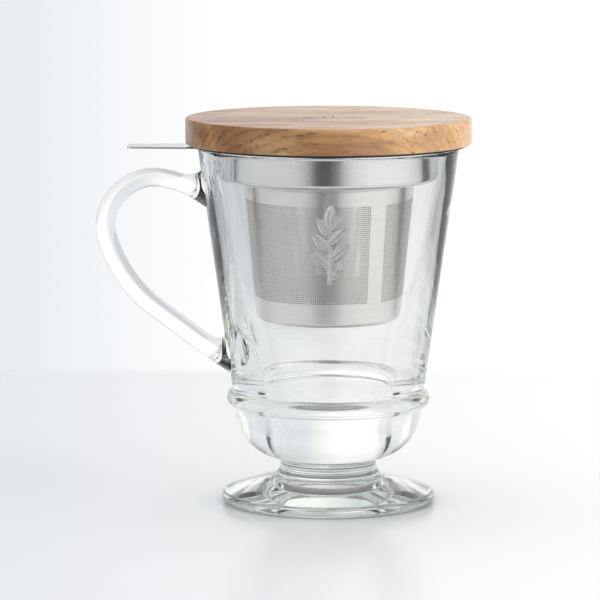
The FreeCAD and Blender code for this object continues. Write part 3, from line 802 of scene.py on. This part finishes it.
def makeWoodMaterial():
    material, tree, shader = newMaterial("oiledWood")
    places = shaderNode(tree, "ShaderNodeTexCoord").outputs["Object"]
    # Slow wander of the grain, then growth rings about a line that lies along X below the board.
    wander = shaderNode(tree, "ShaderNodeTexNoise", {
        "Vector": scaledPlaces(tree, (9, 55, 55)), "Scale": 1.0, "Detail": 3.0})
    moved = shaderNode(tree, "ShaderNodeVectorMath", {0: wander.outputs["Color"], 1: (0.0, 0.008, 0.008)},
                       operation="MULTIPLY")
    bent = shaderNode(tree, "ShaderNodeVectorMath", {0: places, 1: moved.outputs[0]}, operation="ADD")
    heart = shaderNode(tree, "ShaderNodeMapping", {
        "Vector": bent.outputs[0], "Location": wood["heart"], "Rotation": (0, 0.03, 0.06), "Scale": (0, 1, 1)})
    away = shaderNode(tree, "ShaderNodeVectorMath", {0: heart.outputs[0]}, operation="LENGTH")
    turns = sumNode(tree, "MULTIPLY", away.outputs["Value"], wood["ringsPerMetre"])
    ring = sumNode(tree, "FRACT", turns)
    ringTone = rampNode(tree, ring, wood["ringTones"])
    streaks = shaderNode(tree, "ShaderNodeTexNoise", {
        "Vector": scaledPlaces(tree, (22, 520, 520)), "Scale": 1.0, "Detail": 5.0, "Roughness": 0.7})
    patches = shaderNode(tree, "ShaderNodeTexNoise", {
        "Vector": scaledPlaces(tree, (22, 90, 130)), "Scale": 1.0, "Detail": 2.0})
    base = rampNode(tree, patches.outputs["Fac"], wood["tones"])
    grained = mixNode(tree, wood["ringShare"], base, ringTone, "MULTIPLY")
    streakTone = rampNode(tree, streaks.outputs["Fac"], wood["streakTones"])
    streaked = mixNode(tree, wood["streakShare"], grained, streakTone, "MULTIPLY")
    # Pores: long along the grain, small dark dots where the grain ends.
    pores = shaderNode(tree, "ShaderNodeTexVoronoi", {
        "Vector": scaledPlaces(tree, (110, 760, 760)), "Scale": 1.0, "Randomness": 1.0})
    poreMask = rampNode(tree, pores.outputs["Distance"], wood["poreEdge"])
    gather = rampNode(tree, ring, wood["poreRings"])
    poreHere = mixNode(tree, 1.0, poreMask, gather, "MULTIPLY")
    # Painted light: the wood is paler towards +X, the side the key lamp lights.
    across = shaderNode(tree, "ShaderNodeSeparateXYZ", {"Vector": bent.outputs[0]}).outputs["X"]
    paintedLitSideShare = sumNode(tree, "MULTIPLY_ADD", across, 7.0, 0.25, clamp=True)
    paintedLitSide = mixNode(tree, paintedLitSideShare, streaked, mixNode(tree, 0.5, streaked, wood["paintedLitSideColour"]))
    pored = mixNode(tree, poreHere, paintedLitSide, wood["poreColour"])
    # The burned mark: the grooves' floor lies below the top.
    up = shaderNode(tree, "ShaderNodeSeparateXYZ", {"Vector": places}).outputs["Z"]
    fade = wood["burnFade"] * mm
    below = sumNode(tree, "MULTIPLY_ADD", up, -1 / fade, (lidTop - wood["burnStart"]) * mm / fade, clamp=True)
    level = sumNode(tree, "GREATER_THAN", up, (lidTop - wood["topBand"]) * mm)
    reach = shaderNode(tree, "ShaderNodeVectorMath", {0: places, 1: (1, 1, 0)}, operation="MULTIPLY")
    fromMiddle = shaderNode(tree, "ShaderNodeVectorMath", {0: reach.outputs[0]}, operation="LENGTH")
    near = sumNode(tree, "LESS_THAN", fromMiddle.outputs["Value"], lid["markReach"] * mm)
    burned = sumNode(tree, "MULTIPLY", sumNode(tree, "MULTIPLY", below, level), near)
    tree.links.new(mixNode(tree, burned, pored, wood["burnColour"]), shader.inputs["Base Color"])
    marks = handlingNode(tree, wood["smearScale"], wood["roughness"], wood["smear"])
    tree.links.new(marks.outputs["Roughness"], shader.inputs["Roughness"])
    shader.inputs["IOR"].default_value = wood["ior"]
    relief = sumNode(tree, "MULTIPLY_ADD", poreHere, -0.6, streaks.outputs["Fac"])
    bump = shaderNode(tree, "ShaderNodeBump", {"Height": relief, "Strength": 0.5, "Distance": 0.00006})
    tree.links.new(bump.outputs["Normal"], shader.inputs["Normal"])
    return material


def makeSiliconeMaterial():
    material, tree, shader = newMaterial("blackSilicone")
    marks = handlingNode(tree, 220.0, 0.42, 0.2)
    tree.links.new(rampNode(tree, marks.outputs["Mask"], [(0.0, (0.012, 0.012, 0.013)), (1.0, (0.03, 0.03, 0.032))]),
                   shader.inputs["Base Color"])
    tree.links.new(marks.outputs["Roughness"], shader.inputs["Roughness"])
    return material


dress([mugGlass], makeGlassMaterial())
dress([infuserCollar], makeSteelMaterial("polishedSteel"))
dress(panels + [basketBase], makeSteelMaterial("perforatedSteel"))
dress([lidDisc], makeWoodMaterial())
dress([lidGasket], makeSiliconeMaterial())
print("materials made,", len(bpy.data.materials))


# ---- table, light and camera ----

table = {
    "back": 0.295, "front": -0.62, "halfWidth": 1.6, "softEdge": 0.016,
    "roughness": 0.22, "ior": 1.4, "paintedLightPerMetre": 4.0, "paintedLightMiddle": 0.55,
    "paintedShadowReach": 0.1, "mirrorFade": 0.05,
    "mirrored": 0.21,                  # how much of the table round the foot glass and steel show
    "paintedFootShadow": [                       # painted contact shadow under the foot: the table's shade by metres from the mug's axis
        (0.000, (0.85, 0.85, 0.84)), (0.014, (0.55, 0.55, 0.53)), (0.018, (0.22, 0.22, 0.20)),
        (0.026, (0.45, 0.46, 0.44)), (0.034, (0.40, 0.42, 0.40)), (0.038, (0.90, 0.93, 0.93)),
        (0.046, (0.99, 1.0, 1.0)), (0.080, (1.0, 1.0, 1.0)),
    ],
    # painted light: the table is greyer and bluer at the shaded left and brighter at the lit right
    "left": (0.84, 0.86, 0.885), "right": (0.93, 0.93, 0.93),
}


def makeTable():
    middle = (table["back"] + table["front"]) / 2
    bpy.ops.mesh.primitive_plane_add(size=1, location=(0, middle, -0.0001))
    top = bpy.context.object
    top.name = "tableTop"
    top.scale = (table["halfWidth"] * 2, table["back"] - table["front"], 1)
    bpy.ops.object.transform_apply(location=True, scale=True)
    material, tree, shader = newMaterial("paleTable")
    places = shaderNode(tree, "ShaderNodeTexCoord").outputs["Object"]
    place = shaderNode(tree, "ShaderNodeSeparateXYZ", {"Vector": places})
    # Painted light across the table: darker at the left, brighter at the right, as the light falls.
    across = sumNode(tree, "MULTIPLY_ADD", place.outputs["X"],
                     table["paintedLightPerMetre"], table["paintedLightMiddle"], clamp=True)
    away = shaderNode(tree, "ShaderNodeVectorMath", {0: places}, operation="LENGTH").outputs["Value"]
    paintedLight = rampNode(tree, across, [(0.0, table["left"]), (1.0, table["right"])])
    # Painted shadow: the table is darkened in rings under the mug's foot, standing in for its contact shadow.
    perReach = 1 / table["paintedShadowReach"]
    stops = [(perReach * out, tone) for out, tone in table["paintedFootShadow"]]
    paintedFootShadow = rampNode(tree, sumNode(tree, "MULTIPLY", away, perReach), stops)
    tree.links.new(mixNode(tree, 1.0, paintedLight, paintedFootShadow, "MULTIPLY"), shader.inputs["Base Color"])
    shader.inputs["Roughness"].default_value = table["roughness"]
    shader.inputs["IOR"].default_value = table["ior"]
    edge = sumNode(tree, "MULTIPLY_ADD", place.outputs["Y"], -1 / table["softEdge"],
                   table["back"] / table["softEdge"], clamp=True)
    perFade = 1 / table["mirrorFade"]
    nearby = sumNode(tree, "MULTIPLY_ADD", away, -perFade, table["mirrored"] * perFade, clamp=True)
    rays = shaderNode(tree, "ShaderNodeLightPath")
    direct = sumNode(tree, "MAXIMUM", rays.outputs["Is Camera Ray"], rays.outputs["Is Shadow Ray"])
    shown = sumNode(tree, "MULTIPLY", edge, sumNode(tree, "MAXIMUM", direct, nearby))
    tree.links.new(shown, shader.inputs["Alpha"])
    dress([top], material)


studio = {
    "azimuths": [                      # degrees from +Y towards +X, and the colour seen there
        (-180, (0.08, 0.08, 0.08)), (-168, (0.10, 0.10, 0.10)), (-157, (0.70, 0.70, 0.71)),
        (-145, (0.95, 0.95, 0.96)), (-100, (1.00, 1.01, 1.02)), (-74, (0.85, 0.86, 0.88)),
        (-70, (0.08, 0.08, 0.10)), (-59, (0.08, 0.08, 0.10)), (-55, (0.82, 0.84, 0.87)),
        (-30, (0.80, 0.83, 0.87)), (-12, (0.80, 0.83, 0.87)), (-4.6, (0.80, 0.83, 0.87)),
        (-3.85, (0.85, 0.88, 0.915)), (-3.08, (0.90, 0.92, 0.945)), (-2.0, (0.96, 0.97, 0.985)),
        (-0.8, (1.02, 1.02, 1.02)), (2, (1.16, 1.16, 1.16)), (18, (1.20, 1.20, 1.20)),
        (30, (0.88, 0.90, 0.92)), (54, (0.82, 0.84, 0.86)), (58, (0.06, 0.06, 0.06)),
        (69, (0.06, 0.06, 0.06)), (73, (0.95, 0.95, 0.95)), (91, (1.22, 1.22, 1.21)),
        (104, (1.36, 1.36, 1.34)), (138, (1.34, 1.34, 1.32)), (154, (1.12, 1.12, 1.11)),
        (164, (0.80, 0.80, 0.80)), (171, (0.30, 0.30, 0.30)), (180, (0.08, 0.08, 0.08)),
    ],
    "heights": [                       # height of the direction, from -1 down to 1 up, and its share
        (-1.0, 0.50), (-0.4, 0.72), (-0.175, 0.82), (-0.155, 1.0), (0.24, 1.0), (0.34, 0.62), (0.62, 0.55),
        (0.78, 0.9), (1.0, 1.05),
    ],
    "diffuse": (0.60, 0.60, 0.61),
}


def makeWorld():
    world = bpy.data.worlds.new("studio")
    scene.world = world
    world.use_nodes = True
    tree = world.node_tree
    direction = shaderNode(tree, "ShaderNodeTexCoord").outputs["Generated"]
    part = shaderNode(tree, "ShaderNodeSeparateXYZ", {"Vector": direction})
    angle = sumNode(tree, "ARCTAN2", part.outputs["X"], part.outputs["Y"])
    share = sumNode(tree, "MULTIPLY_ADD", angle, 1 / (2 * math.pi), 0.5)
    stops = [((azimuth + 180) / 360, colour) for azimuth, colour in studio["azimuths"]]
    around = rampNode(tree, share, stops)
    rise = sumNode(tree, "MULTIPLY_ADD", part.outputs["Z"], 0.5, 0.5)
    levels = rampNode(tree, rise, [((height + 1) / 2, (share,) * 3) for height, share in studio["heights"]])
    seen = mixNode(tree, 1.0, around, levels, "MULTIPLY")
    rays = shaderNode(tree, "ShaderNodeLightPath")
    straight = sumNode(tree, "MAXIMUM", rays.outputs["Is Camera Ray"],
                       sumNode(tree, "MAXIMUM", rays.outputs["Is Glossy Ray"], rays.outputs["Is Transmission Ray"]))
    colour = mixNode(tree, straight, studio["diffuse"], seen)
    tree.links.new(colour, tree.nodes["Background"].inputs["Color"])
    tree.nodes["Background"].inputs["Strength"].default_value = 1.0
    world.cycles.sampling_method = "NONE"


lamps = {
    "keyRight": {"place": (1.6, -0.55, 0.55), "size": 1.1, "power": 31.0},
    "fillTop": {"place": (-0.2, 0.3, 1.6), "size": 1.4, "power": 5.0},
}


def makeLamps():
    for name, lamp in lamps.items():
        aim = Vector((0, 0, 0.07)) - Vector(lamp["place"])
        turn = aim.to_track_quat("-Z", "Y").to_euler()
        bpy.ops.object.light_add(type="AREA", location=lamp["place"], rotation=turn)
        light = bpy.context.object
        light.name = name
        light.data.size = lamp["size"]
        light.data.energy = lamp["power"]
        light.visible_glossy = False
        light.visible_transmission = False


view = {"place": (-0.0096, -1.241, 0.2345), "tip": 7.633, "lens": 222.96}


def makeCamera():
    bpy.ops.object.camera_add(location=view["place"], rotation=(math.radians(90 - view["tip"]), 0, 0))
    camera = bpy.context.object
    camera.name = "photoCamera"
    camera.data.lens = view["lens"]
    camera.data.sensor_width = 36
    camera.data.clip_start = 0.01
    scene.camera = camera


makeTable()
makeWorld()
makeLamps()
makeCamera()
mugGlass.visible_shadow = False
print("stage, light and camera set")
